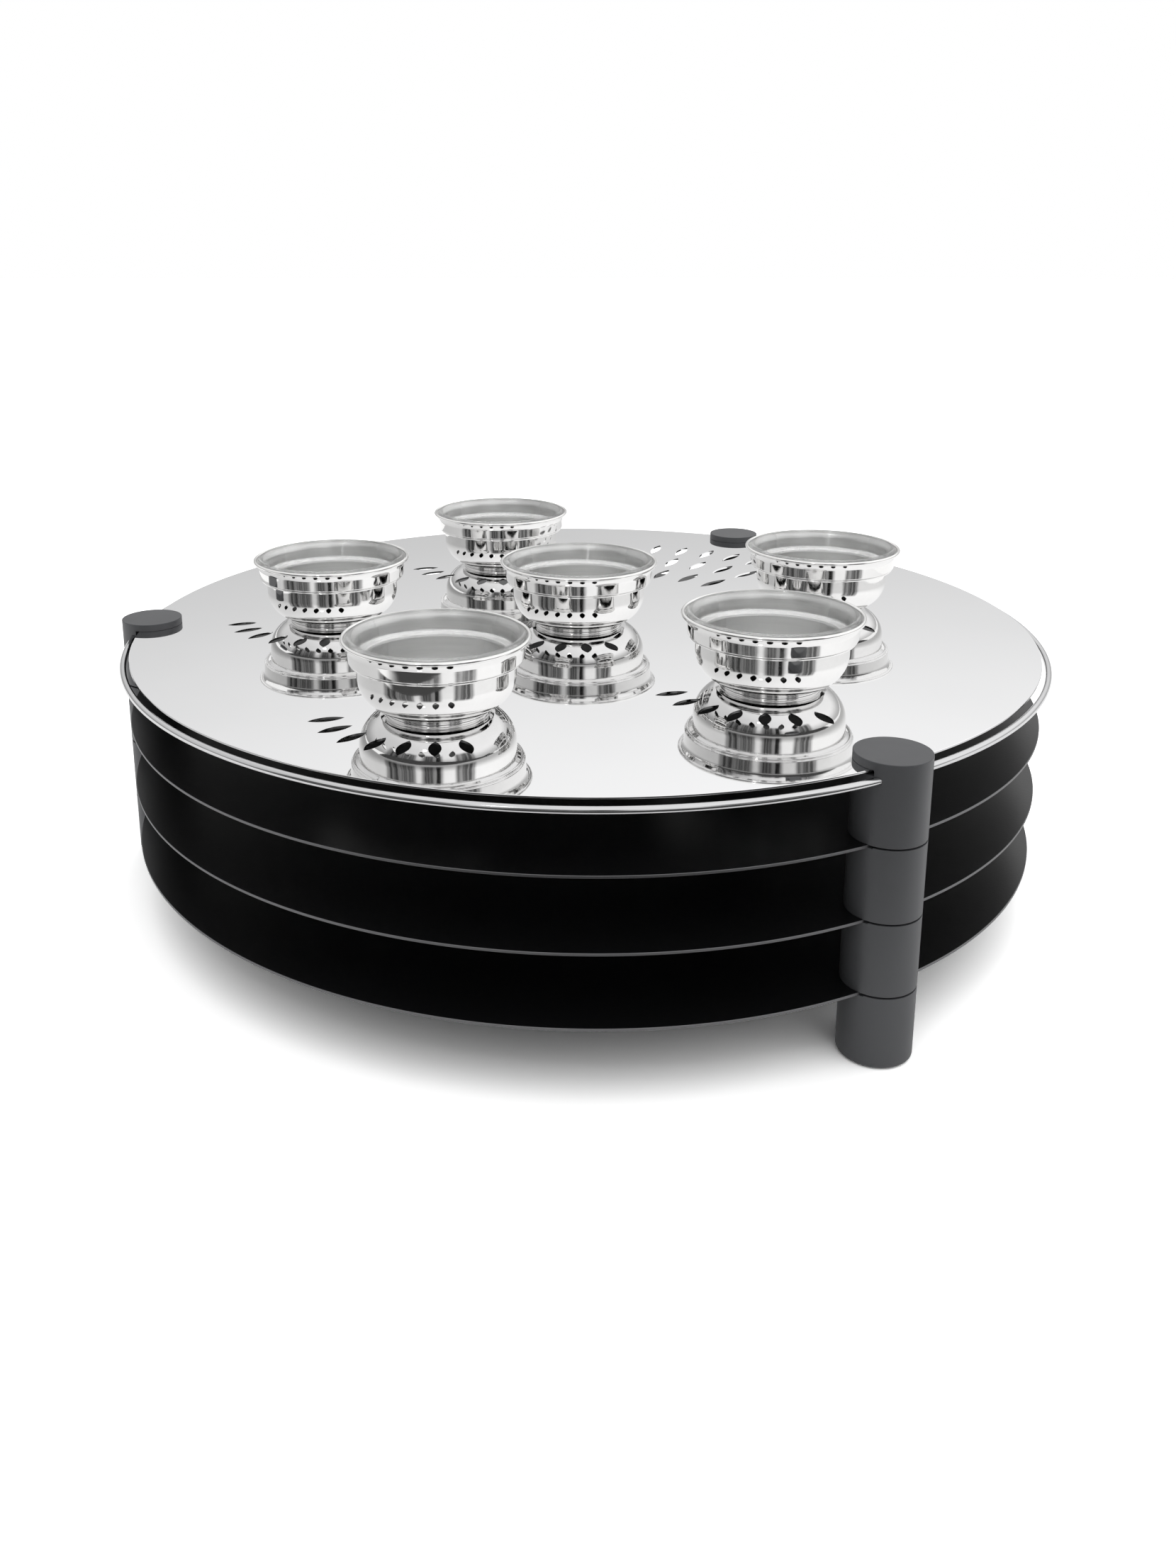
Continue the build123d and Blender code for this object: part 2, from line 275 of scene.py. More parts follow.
class StudioSettings(bpy.types.PropertyGroup):
    """Camera, floor and light. Bearings are from the camera's side, to the right if positive."""

    camera_x: length("Camera X", "Camera's place along X", 117.75)
    camera_y: length("Camera Y", "Camera's place along Y", -538.71)
    camera_z: length("Camera Z", "Camera's height above the floor", 264.08)
    heading: turn_angle("Heading", "Camera's turn about Z from the Y axis", 15.091)
    pitch: turn_angle("Pitch", "Camera's tilt below the horizon", 14.724)
    roll: turn_angle("Roll", "Camera's roll", -0.444)
    focal_pixels: level("Focal length", "Focal length in pixels of the photograph", 1873.58)
    centre_column: level("Centre column", "Optical centre's pixel column in the photograph", 728.8)
    centre_row: level("Centre row", "Optical centre's pixel row in the photograph", 826.6)
    floor_size: length("Floor size", "Side of the floor", 16000.0)
    floor_grey: share("Floor grey", "Lightness of the floor", 0.9)
    floor_gain: share("Floor gain", "How much brighter the floor is to the camera", 0.95)
    floor_lift: level("Floor lift", "Light that the floor adds in reflections", 0.14)
    sky_low: level("Low sky", "Brightness of the backdrop near the floor", 0.45)
    sky_high: level("High sky", "Brightness of the backdrop high up", 1.0)
    sky_turn_low: turn_angle("Sky turn low", "Elevation where the backdrop starts to brighten", 3.0)
    sky_turn_high: turn_angle("Sky turn high", "Elevation where the backdrop is fully bright", 26.0)
    sky_lean: share("Sky lean", "How much brighter the backdrop is to the right", 0.25)
    zenith: level("Zenith", "Brightness of the ceiling", 1.25)
    zenith_low: turn_angle("Zenith low", "Elevation where the ceiling starts to brighten", 42.0)
    zenith_high: turn_angle("Zenith high", "Elevation where the ceiling is fully bright", 62.0)
    zenith_lean: share("Zenith lean", "How much brighter the ceiling is towards the camera", 0.25)
    zenith_mirrored: share("Mirrored zenith", "Share of the ceiling's extra light that metal mirrors", 0.25)
    flag_bottom: turn_angle("Flag bottom", "Elevation of the lower edges of the flags near the camera", 4.0)
    flag_top: turn_angle("Flag top", "Elevation of the flags' upper edges", 30.0)
    flag_softness: turn_angle("Flag softness", "Half width of the flags' soft edges", 4.0)
    left_flag_start: turn_angle("Left flag start", "Bearing of the left flag's left edge", -76.0)
    left_flag_end: turn_angle("Left flag end", "Bearing of the left flag's right edge", -30.0)
    left_flag_share: share("Left flag share", "Share of the light that the left flag stops", 0.94)
    middle_flag_start: turn_angle("Middle flag start", "Bearing of the middle flag's left edge", -20.0)
    middle_flag_end: turn_angle("Middle flag end", "Bearing of the middle flag's right edge", 8.0)
    middle_flag_share: share("Middle flag share", "Share of the light that the middle flag stops", 0.985)
    right_flag_start: turn_angle("Right flag start", "Bearing of the right flag's left edge", 28.0)
    right_flag_end: turn_angle("Right flag end", "Bearing of the right flag's right edge", 56.0)
    right_flag_share: share("Right flag share", "Share of the light that the right flag stops", 0.9)
    clutter: level("Clutter", "Streaks of light and dark per radian in the flags", 9.0)
    table_edge: length("Table edge", "From the stand's axis to the table's edge on the camera's side", 270.0)
    table_edge_softness: length("Table edge softness", "Half width of that edge in reflections", 40.0)
    room_light: level("Room light", "Brightness of the room beyond the table, in reflections", 0.06)
    lamp_bearing: turn_angle("Lamp bearing", "Lamp's bearing", -22.0)
    lamp_elevation: turn_angle("Lamp elevation", "Lamp's elevation from the plate", 42.0)
    lamp_distance: length("Lamp distance", "Lamp's distance from the plate", 1400.0)
    lamp_size: length("Lamp size", "Side of the lamp's face", 90.0)
    lamp_power: level("Lamp power", "Lamp's power in watts", 0.25)


# Shader maths

class Wire:
    """An output socket. Its operators add Math nodes to its tree, and node() adds any other node."""

    def __init__(self, tree, socket=None):
        self.tree = tree
        self.socket = socket

    def node(self, kind, settings=None, inputs=None, output=0):
        """Add a node, set it up, feed its sockets with values or wires, and return one output."""
        made = self.tree.nodes.new(kind)
        for name, value in (settings or {}).items():
            setattr(made, name, value)
        for name, value in (inputs or {}).items():
            if isinstance(value, Wire):
                self.tree.links.new(value.socket, made.inputs[name])
            else:
                made.inputs[name].default_value = value
        return Wire(self.tree, made.outputs[output])

    def math(self, operation, first, second=0.0):
        return self.node("ShaderNodeMath", {"operation": operation}, {0: first, 1: second})

    def __add__(self, other):
        return self.math("ADD", self, other)

    __radd__ = __add__

    def __sub__(self, other):
        return self.math("SUBTRACT", self, other)

    def __rsub__(self, other):
        return self.math("SUBTRACT", other, self)

    def __mul__(self, other):
        return self.math("MULTIPLY", self, other)

    __rmul__ = __mul__

    def ramp(self, low, high, start=0.0, end=1.0):
        """Smooth step of this value, from start at low to end at high."""
        return self.node(
            "ShaderNodeMapRange",
            {"interpolation_type": "SMOOTHSTEP"},
            {0: self, 1: low, 2: high, 3: start, 4: end},
        )

    def within(self, low, high, softness):
        """One between two limits and nought outside them, with soft edges."""
        rising = self.ramp(low - softness, low + softness)
        falling = self.ramp(high - softness, high + softness, 1.0, 0.0)
        return rising * falling

    def along(self, axis):
        """How far this vector goes along an axis."""
        return self.node("ShaderNodeVectorMath", {"operation": "DOT_PRODUCT"}, {0: self, 1: axis}, "Value")

    def place(self, stretch=(1.0, 1.0, 1.0)):
        """Object coordinates, stretched along each axis."""
        where = self.node("ShaderNodeTexCoord", output="Object")
        return self.node("ShaderNodeMapping", None, {"Vector": where, "Scale": stretch})

    def noise(self, where, scale, detail=2.0):
        """Noise between nought and one, at a scale in cells per metre."""
        return self.node("ShaderNodeTexNoise", None, {"Vector": where, "Scale": scale, "Detail": detail})

    def bump(self, height, swing):
        """Normal from a height field whose full swing is a distance in metres."""
        return self.node("ShaderNodeBump", None, {"Height": height, "Distance": swing}, "Normal")

    def shade(self, tint, factor, darkest):
        """A colour that goes from a darker shade to itself as the factor goes from nought to one."""
        dark = [darkest * part for part in tint]
        inputs = {0: factor, 6: (*dark, 1.0), 7: (*tint, 1.0)}
        return self.node("ShaderNodeMix", {"data_type": "RGBA"}, inputs, 2)

    def surface(self, **sockets):
        """A Principled shader, with its sockets named in plain words."""
        inputs = {}
        for name, value in sockets.items():
            inputs[name.replace("_", " ").title().replace("Ior", "IOR")] = value
        return self.node("ShaderNodeBsdfPrincipled", None, inputs)


def wire_up(owner, output_kind, build, settings):
    """Wire a material or a world to the surface that a function builds."""
    owner.use_nodes = True
    tree = owner.node_tree
    tree.nodes.clear()
    output = tree.nodes.new(output_kind)
    tree.links.new(build(Wire(tree), settings).socket, output.inputs["Surface"])


def finish(build):
    """The material that a function builds, made on its first use and named after it."""
    name = build.__name__
    made = bpy.data.materials.get(name)
    if made is None:
        made = bpy.data.materials.new(name)
        wire_up(made, "ShaderNodeOutputMaterial", build, bpy.context.scene.seder_finishes)
    return made


# Finishes

def satin_post_paint(paint, looks):
    """Dark grey satin paint with a fine sprayed grain."""
    where = paint.place()
    cloud = paint.noise(where, scale=70.0, detail=3.0)
    grain = paint.noise(where, scale=2400.0)
    return paint.surface(
        base_color=paint.shade(looks.post_grey, cloud * 0.5 + grain * 0.5, darkest=0.86),
        metallic=looks.post_metal,
        roughness=looks.post_roughness + 0.12 * (cloud - 0.5),
        normal=paint.bump(grain, swing=0.012 * MM),
    )


def black_powder_coat(paint, looks):
    """Matt black powder coat with a slight orange peel."""
    where = paint.place()
    cloud = paint.noise(where, scale=24.0, detail=3.0)
    peel = paint.noise(where, scale=900.0)
    return paint.surface(
        base_color=paint.shade(looks.shelf_black, cloud, darkest=0.7),
        roughness=looks.shelf_roughness + 0.03 * (cloud - 0.5),
        specular_ior_level=looks.shelf_shine,
        normal=paint.bump(peel, swing=0.02 * MM),
    )


def cut_shelf_edge(paint, looks):
    """Bare metal where a shelf was cut, with upright cutting marks."""
    marks = paint.noise(paint.place((1.0, 1.0, 0.1)), scale=1800.0)
    cloud = paint.noise(paint.place(), scale=40.0)
    return paint.surface(
        base_color=paint.shade(looks.shelf_edge, marks * 0.6 + cloud * 0.4, darkest=0.75),
        metallic=1.0,
        roughness=0.36 + 0.14 * marks,
    )


def mirror_steel(paint, looks):
    """Mirror-polished steel with the faintest bloom."""
    bloom = paint.noise(paint.place(), scale=11.0, detail=4.0).ramp(low=0.45, high=0.8)
    lines = paint.noise(paint.place((1.0, 0.02, 1.0)), scale=900.0)
    return paint.surface(
        base_color=paint.shade(looks.mirror, 1.0 - 0.6 * bloom, darkest=0.96),
        metallic=1.0,
        roughness=0.02 + 0.025 * bloom + 0.012 * lines,
    )


def bright_chrome(paint, looks):
    """Chrome plating on drawn rod."""
    cloud = paint.noise(paint.place(), scale=160.0, detail=3.0)
    return paint.surface(
        base_color=paint.shade(looks.chrome, cloud, darkest=0.93),
        metallic=1.0,
        roughness=0.08 + 0.06 * cloud,
    )


def polished_silver(paint, looks):
    """Spun and polished silver, a little uneven from the buffing wheel."""
    where = paint.place()
    buffing = paint.noise(where, scale=120.0)
    haze = paint.noise(where, scale=420.0, detail=3.0)
    return paint.surface(
        base_color=paint.shade(looks.silver, haze, darkest=0.95),
        metallic=1.0,
        roughness=0.03 + 0.05 * haze,
        normal=paint.bump(buffing, swing=0.05 * MM),
    )


def satin_silver(paint, looks):
    """The inside of a bowl, under its liner, left satin with the marks of spinning."""
    marks = paint.noise(paint.place((0.02, 0.02, 1.0)), scale=1500.0)
    return paint.surface(
        base_color=paint.shade(looks.silver, marks, darkest=0.8),
        metallic=1.0,
        roughness=looks.satin_roughness + 0.1 * marks,
    )


def clear_glass(paint, looks):
    """Clear pressed glass with a faint haze."""
    haze = paint.noise(paint.place(), scale=90.0, detail=3.0)
    return paint.surface(
        base_color=(*looks.glass, 1.0),
        roughness=0.04 + 0.06 * haze,
        transmission_weight=1.0,
        alpha=looks.glass_body,
    )


def soft_rubber(paint, looks):
    """Dull black rubber with a fine moulded texture."""
    speckle = paint.noise(paint.place(), scale=1500.0)
    return paint.surface(
        base_color=paint.shade(looks.rubber, speckle, darkest=0.75),
        roughness=0.75 + 0.15 * speckle,
        normal=paint.bump(speckle, swing=0.03 * MM),
    )


def turned_screw_steel(paint, looks):
    """Screw steel with turning marks round its axis."""
    marks = paint.noise(paint.place((0.05, 0.05, 1.0)), scale=2500.0)
    return paint.surface(
        base_color=paint.shade(looks.screw_steel, marks, darkest=0.7),
        metallic=1.0,
        roughness=0.28 + 0.16 * marks,
        normal=paint.bump(marks, swing=0.01 * MM),
    )


# Modelling by hand

def deselect():
    """Select nothing."""
    bpy.ops.object.select_all(action="DESELECT")


def activate(piece):
    """Select one piece alone."""
    deselect()
    piece.select_set(True)
    bpy.context.view_layer.objects.active = piece


def settle(piece):
    """Put a piece's place into its mesh."""
    activate(piece)
    bpy.ops.object.transform_apply(location=True, rotation=True, scale=True)


def added(name):
    """The primitive that was just added, named, with its place in its mesh."""
    piece = bpy.context.object
    piece.name = name
    piece.data.name = name
    settle(piece)
    return piece


def draw(name, points):
    """Draw a chain of edges from a plane merged at the first point, and stay in edit mode."""
    deselect()
    bpy.ops.mesh.primitive_plane_add(size=MM, location=points[0])
    piece = added(name)
    bpy.context.tool_settings.mesh_select_mode = (True, False, False)
    bpy.ops.object.mode_set(mode="EDIT")
    bpy.ops.mesh.select_all(action="SELECT")
    bpy.ops.mesh.merge(type="CENTER")
    for here, there in zip(points, points[1:]):
        step = Vector(there) - Vector(here)
        bpy.ops.mesh.extrude_vertices_move(TRANSFORM_OT_translate={"value": step})
    bpy.ops.mesh.select_all(action="SELECT")
    return piece


def face_outwards():
    """Turn all the faces being edited outwards, and leave edit mode."""
    bpy.ops.mesh.select_all(action="SELECT")
    bpy.ops.mesh.normals_make_consistent(inside=False)
    bpy.ops.object.mode_set(mode="OBJECT")


def spin_closed(facets):
    """Spin the edges being edited about Z into a closed piece, and leave edit mode."""
    bpy.ops.mesh.select_all(action="SELECT")
    bpy.ops.mesh.spin(steps=facets, angle=2 * pi, center=(0, 0, 0), axis=(0, 0, 1))
    bpy.ops.mesh.select_all(action="SELECT")
    bpy.ops.mesh.remove_doubles(threshold=MERGE_DISTANCE)
    face_outwards()


def turn(name, outline, facets):
    """Draw an outline of (reach, height) points and spin it about Z."""
    piece = draw(name, [(reach, 0, height) for reach, height in outline])
    spin_closed(facets)
    return piece


def cut(piece, cutter):
    """Take a cutter away from a piece."""
    boolean = piece.modifiers.new("cut", "BOOLEAN")
    boolean.operation = "DIFFERENCE"
    boolean.solver = "EXACT"
    boolean.object = cutter
    activate(piece)
    bpy.ops.object.modifier_apply(modifier=boolean.name)
    bpy.data.objects.remove(cutter)


def bevel_where(piece, width, chosen, segments=1):
    """Bevel the edges whose two ends are both in the chosen place."""
    bpy.context.tool_settings.mesh_select_mode = (False, True, False)
    mesh = piece.data
    for part in (*mesh.vertices, *mesh.edges, *mesh.polygons):
        part.select = False
    for edge in mesh.edges:
        edge.select = all(chosen(mesh.vertices[end].co) for end in edge.vertices)
    activate(piece)
    bpy.ops.object.mode_set(mode="EDIT")
    bpy.ops.mesh.bevel(offset=width, segments=segments, affect="EDGES")
    bpy.ops.object.mode_set(mode="OBJECT")


def smooth(piece):
    """Shade smooth over every edge that isn't sharp."""
    activate(piece)
    bpy.ops.object.shade_smooth_by_angle(angle=SMOOTH_ANGLE)


def even_normals(piece):
    """Let broad flats keep their own normals beside narrow rounded edges."""
    activate(piece)
    even = piece.modifiers.new("even", "WEIGHTED_NORMAL")
    even.keep_sharp = True
    bpy.ops.object.modifier_apply(modifier=even.name)


def copied(piece, name, placing):
    """A copy of a piece with its own mesh, placed in its mesh."""
    copy = piece.copy()
    copy.data = piece.data.copy()
    copy.name = name
    copy.data.name = name
    bpy.context.scene.collection.objects.link(copy)
    copy.matrix_world = placing
    settle(copy)
    return copy


def dress(piece, node, slot, *finishes):
    """Give a piece its finishes, and let it stand for a CAD node and ride on that node's body."""
    piece.data.materials.clear()
    for material in finishes:
        piece.data.materials.append(material)
    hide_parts(node)
    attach(piece, body_with(node))


def second_finish(piece, chosen):
    """Give a piece's second finish to the faces that a test chooses."""
    for face in piece.data.polygons:
        face.material_index = 1 if chosen(face) else 0


def set_out(pattern, kind, made, placings, slot, *finishes):
    """Copy a pattern to each of its places, dress the copies and drop the pattern."""
    smooth(pattern)
    even_normals(pattern)
    copies = {}
    for place, placing in placings.items():
        copies[place] = copied(pattern, f"{place}_{kind}_{made}", placing)
        dress(copies[place], f"{place}_{kind}", slot, *finishes)
    bpy.data.objects.remove(pattern)
    return copies


def outwards(bearing, reach):
    """Placing at a reach along a bearing from the axis, with +X outwards."""
    return Matrix.Rotation(bearing, 4, "Z") @ Matrix.Translation((reach, 0, 0))


# Outlines

def arc(centre, radius, start, end, steps):
    """Points along a circle from one angle to another."""
    reach, height = centre
    angles = [start + (end - start) * step / steps for step in range(steps + 1)]
    return [(reach + radius * cos(angle), height + radius * sin(angle)) for angle in angles]


def soften(corners, steps=5):
    """An outline through (reach, height, rounding) corners, with a curve at each rounded one."""
    points = []
    for index, (reach, height, rounding) in enumerate(corners):
        if rounding == 0:
            points.append((reach, height))
            continue
        corner = Vector((reach, height))
        start = corner + (Vector(corners[index - 1][:2]) - corner).normalized() * rounding
        end = corner + (Vector(corners[index + 1][:2]) - corner).normalized() * rounding
        for step in range(steps + 1):
            part = step / steps
            point = start * (1 - part) ** 2 + corner * 2 * part * (1 - part) + end * part**2
            points.append((point.x, point.y))
    return points


# Posts

def on_posts():
    """Placings that carry a piece from a post's own frame, +X outwards, to each post."""
    return {post: outwards(atan2(axis.y, axis.x), post_reach) for post, axis in post_axes.items()}


def cut_inner_side(piece, edge_reach, low, high):
    """Cut away a post's inner side, out to a reach from the stand's axis."""
    near_side = -2 * post_radius
    far_side = edge_reach - post_reach
    middle = ((near_side + far_side) / 2, 0, (low + high) / 2)
    size = (far_side - near_side, 4 * post_radius, high - low)
    deselect()
    bpy.ops.mesh.primitive_cube_add(size=1, location=middle, scale=size)
    cut(piece, added("inner_side_cutter"))


def cut_shelf_rebate(piece, segment, sizes):
    """Cut the rebate for a shelf's rim in the top of a post segment."""
    shelf = SHELF_ON[segment]
    cut_inner_side(piece, radius_of(shelf) + sizes.shelf_end_clearance, *heights_of(shelf))


def turn_segment(segment, bore, low_rounding, high_rounding, sizes):
    """Turn a post segment from its bore's corners, from the top down, and round its outer edges."""
    low, high = heights_of(f"left_{segment}")
    corners = [(reach, height, 0) for reach, height in bore]
    corners.append((post_radius, low, low_rounding))
    corners.append((post_radius, high, high_rounding))
    corners.append((bore[0][0], high, 0))
    return turn(segment, soften(corners), sizes.post_facets)


def turn_foot(sizes):
    """Lowest segment, rounded at the floor and hollowed for the screw's head and the pad."""
    low, high = heights_of("left_foot")
    pad_top = heights_of("left_foot_pad")[1]
    pad_hole = radius_of("left_foot_pad") + sizes.pad_clearance
    seat = heights_of("left_tie_screw")[0] + sizes.head_height
    bore = [
        (sizes.screw_hole_radius, high),
        (sizes.screw_hole_radius, seat),
        (sizes.head_hole_radius, seat),
        (sizes.head_hole_radius, pad_top),
        (pad_hole, pad_top),
        (pad_hole, low),
    ]
    return turn_segment("foot", bore, sizes.foot_rounding, sizes.seam_rounding, sizes)


def turn_spacer(segment, sizes):
    """Segment between two shelves."""
    low, high = heights_of(f"left_{segment}")
    bore = [(sizes.screw_hole_radius, high), (sizes.screw_hole_radius, low)]
    return turn_segment(segment, bore, sizes.seam_rounding, sizes.seam_rounding, sizes)


def turn_clamp(sizes):
    """Top segment: body, kerf for the plate, bore for the ring and the cap."""
    low = heights_of("left_top_clamp")[0]
    hole = sizes.thread_hole_radius
    hole_top = low + sizes.thread_hole_depth
    bore = [(0, hole_top), (hole, hole_top), (hole, low)]
    clamp = turn_segment("top_clamp", bore, sizes.seam_rounding, sizes.cap_rounding, sizes)
    kerf_base = heights_of("left_plate_pad")[0]
    cut_inner_side(clamp, plate_radius + sizes.plate_end_clearance, kerf_base, plate_top)

    def on_cap_lip(place):
        at_kerf = abs(place.z - plate_top) < PICK_DISTANCE
        return at_kerf and hypot(place.x, place.y) > post_radius - 2 * PICK_DISTANCE

    bevel_where(clamp, sizes.cap_lip_rounding, on_cap_lip, segments=3)
    deselect()
    bpy.ops.mesh.primitive_torus_add(
        location=(-post_reach, 0, middle_of("rim_ring").z),
        major_segments=2 * sizes.disc_facets,
        minor_segments=sizes.rod_facets,
        major_radius=radius_of("rim_ring") - sizes.rod_radius,
        minor_radius=sizes.rod_radius + sizes.rod_clearance,
    )
    cut(clamp, added("ring_bore_cutter"))
    return clamp


class SEDER_OT_posts(bpy.types.Operator):
    """Turn the feet, spacers and top clamps of the three posts"""

    bl_idname = "seder.posts"
    bl_label = "Turned posts"

    def execute(self, context):
        sizes = context.scene.seder_stand
        segments = {"foot": turn_foot(sizes)}
        for spacer in ("lower_spacer", "upper_spacer"):
            segments[spacer] = turn_spacer(spacer, sizes)
        for segment, piece in segments.items():
            cut_shelf_rebate(piece, segment, sizes)
        segments["top_clamp"] = turn_clamp(sizes)
        for segment, piece in segments.items():
            set_out(piece, segment, "turned", on_posts(), "post_grey", finish(satin_post_paint))
        return {"FINISHED"}


class SEDER_OT_foot_pads(bpy.types.Operator):
    """Mould the grooved rubber pads under the feet"""

    bl_idname = "seder.foot_pads"
    bl_label = "Foot pads"

    def execute(self, context):
        sizes = context.scene.seder_stand
        radius = radius_of("left_foot_pad")
        low, high = heights_of("left_foot_pad")
        corners = [(0, low, 0)]
        for groove in range(sizes.pad_grooves):
            middle = radius * (groove + 1) / (sizes.pad_grooves + 1)
            half = sizes.pad_groove_width / 2
            corners.append((middle - half, low, 0))
            corners.append((middle - half / 2, low + sizes.pad_groove_depth, 0))
            corners.append((middle + half / 2, low + sizes.pad_groove_depth, 0))
            corners.append((middle + half, low, 0))
        corners.append((radius, low, sizes.pad_rounding))
        corners.append((radius, high, sizes.pad_rounding))
        corners.append((0, high, 0))
        pad = turn("foot_pad", soften(corners), sizes.post_facets)
        set_out(pad, "foot_pad", "moulded", on_posts(), "rubber", finish(soft_rubber))
        return {"FINISHED"}


class SEDER_OT_hidden_fittings(bpy.types.Operator):
    """Finish the screws and pads that keep their CAD shape inside the posts"""

    bl_idname = "seder.hidden_fittings"
    bl_label = "Hidden fittings"

    def execute(self, context):
        fittings = {"tie_screw": turned_screw_steel, "plate_pad": soft_rubber}
        for fitting, build in fittings.items():
            for post in POST_NAMES:
                materials = frame["nodes"][f"{post}_{fitting}"].data.materials
                materials.clear()
                materials.append(finish(build))
        return {"FINISHED"}


# Shelves, plate and ring

def cut_disc(name, node, sizes):
    """A thin disc the size of a round node, with its rim's edges broken."""
    low, high = heights_of(node)
    deselect()
    bpy.ops.mesh.primitive_cylinder_add(
        vertices=sizes.disc_facets,
        radius=radius_of(node),
        depth=high - low,
        location=(0, 0, (low + high) / 2),
    )
    disc = added(name)
    for height in (high, low):
        bevel_where(disc, sizes.sheet_edge_break, lambda place: abs(place.z - height) < PICK_DISTANCE)
    return disc


class SEDER_OT_shelves(bpy.types.Operator):
    """Cut the three powder-coated shelves and bare their rims"""

    bl_idname = "seder.shelves"
    bl_label = "Shelves"

    def execute(self, context):
        sizes = context.scene.seder_stand
        for node in SHELF_NAMES:
            shelf = cut_disc(f"{node}_coated", node, sizes)
            low, high = heights_of(node)
            for axis in post_axes.values():
                deselect()
                bpy.ops.mesh.primitive_cylinder_add(
                    radius=sizes.screw_hole_radius,
                    depth=3 * (high - low),
                    location=(axis.x, axis.y, (low + high) / 2),
                )
                cut(shelf, added("screw_hole_cutter"))
            smooth(shelf)
            dress(shelf, node, "shelf_black", finish(black_powder_coat), finish(cut_shelf_edge))
            rim_reach = radius_of(node) - 2 * sizes.sheet_edge_break
            second_finish(shelf, lambda face: hypot(face.center.x, face.center.y) > rim_reach)
        return {"FINISHED"}


def leaf_cutter(leaf_length, sizes):
    """A pointed oval prism along +X, tall enough to cut through the plate."""
    half_width = sizes.leaf_width / 2
    radius = (leaf_length**2 / 4 + half_width**2) / (2 * half_width)
    half_angle = asin(leaf_length / 2 / radius)
    middle = (leaf_length / 2, half_width - radius)
    upper = arc(middle, radius, pi / 2 + half_angle, pi / 2 - half_angle, sizes.leaf_steps)
    lower = [(along, -across) for along, across in reversed(upper)]
    depth = plate_top - plate_base
    outline = upper + lower[1:-1]
    leaf = draw("leaf_cutter", [(along, across, plate_base - depth) for along, across in outline])
    bpy.ops.mesh.edge_face_add()
    bpy.ops.mesh.extrude_region_move(TRANSFORM_OT_translate={"value": (0, 0, 3 * depth)})
    face_outwards()
    return leaf


def arc_placings(sizes):
    """Placings of the leaves before the bowls."""
    for bowl in BOWL_NAMES:
        axis = middle_of(f"{bowl}_bowl")
        to_bowl = Matrix.Translation((axis.x, axis.y, 0))
        for index in range(sizes.per_arc):
            bearing = sizes.arc_bearing + (index - (sizes.per_arc - 1) / 2) * sizes.spacing
            yield to_bowl @ outwards(bearing, sizes.inner_reach)


def spray_placings(sizes):
    """Placings of the leaves in the spray near the plate's rim."""
    outer_reach = plate_radius - sizes.spray_setback - sizes.spray_leaf_length
    for row in range(sizes.spray_rows):
        reach = outer_reach - (sizes.spray_rows - 1 - row) * sizes.spray_row_pitch
        leaves = sizes.spray_inner_row + row
        for index in range(leaves):
            side_step = (index - (leaves - 1) / 2) * sizes.spray_leaf_spacing
            yield outwards(sizes.spray_bearing + side_step / reach, reach)


class SEDER_OT_plate(bpy.types.Operator):
    """Cut the plate, pierce it with leaves, polish its top and give its underside black powder coat, painted
    shade that keeps the top tier dark
    """

    bl_idname = "seder.plate"
    bl_label = "Pierced plate"

    def execute(self, context):
        sizes = context.scene.seder_piercing
        plate = cut_disc("top_plate_polished", "top_plate", context.scene.seder_stand)
        patterns = {sizes.leaf_length: arc_placings, sizes.spray_leaf_length: spray_placings}
        leaves = []
        for leaf_length, placings in patterns.items():
            leaf = leaf_cutter(leaf_length, sizes)
            for placing in placings(sizes):
                leaves.append(copied(leaf, "leaf", placing))
            bpy.data.objects.remove(leaf)
        activate(leaves[0])
        for leaf in leaves:
            leaf.select_set(True)
        bpy.ops.object.join()
        cut(plate, leaves[0])
        smooth(plate)
        # The downward faces get the black powder coat: painted shade, so the top tier under the plate stays
        # dark instead of lit by a mirrored underside
        dress(plate, "top_plate", "plate_mirror", finish(mirror_steel), finish(black_powder_coat))
        second_finish(plate, lambda face: face.normal.z < UNDERSIDE_NORMAL)
        return {"FINISHED"}


class SEDER_OT_ring(bpy.types.Operator):
    """Bend the chrome rod ring round the plate"""

    bl_idname = "seder.ring"
    bl_label = "Rim ring"

    def execute(self, context):
        sizes = context.scene.seder_stand
        reach = radius_of("rim_ring") - sizes.rod_radius
        deselect()
        bpy.ops.mesh.primitive_circle_add(
            vertices=sizes.rod_facets,
            radius=sizes.rod_radius,
            location=(reach, 0, middle_of("rim_ring").z),
            rotation=(pi / 2, 0, 0),
        )
        ring = added("rim_ring_bent")
        bpy.ops.object.mode_set(mode="EDIT")
        spin_closed(sizes.disc_facets)
        smooth(ring)
        dress(ring, "rim_ring", "ring_chrome", finish(bright_chrome))
        return {"FINISHED"}


# Bowls and liners

def belly_arc(sizes, radius, low, steps=28):
    """A belly's circle of the given radius, upwards from a height to its widest place."""
    centre = (sizes.belly_centre_reach, sizes.foot_height + sizes.belly_round - sizes.belly_dip)
    return arc(centre, radius, asin((low - centre[1]) / radius), 0, steps)


def step_ends(sizes):
    """Outer ends of a bowl's step: the top of its side and the bottom of its band."""
    side = Vector(belly_arc(sizes, sizes.belly_round, sizes.foot_height)[-1])
    inner = side + Vector((0, sizes.side_height))
    return inner, inner + Vector((sizes.band_overhang, sizes.step_height))


def neck_ends(sizes):
    """The outer top of a bowl's band, and the middle of its lip's roll."""
    band_top = step_ends(sizes)[1] + Vector((sizes.band_flare, sizes.band_height))
    return band_top, band_top + Vector((sizes.lip_flare, sizes.lip_neck_height))


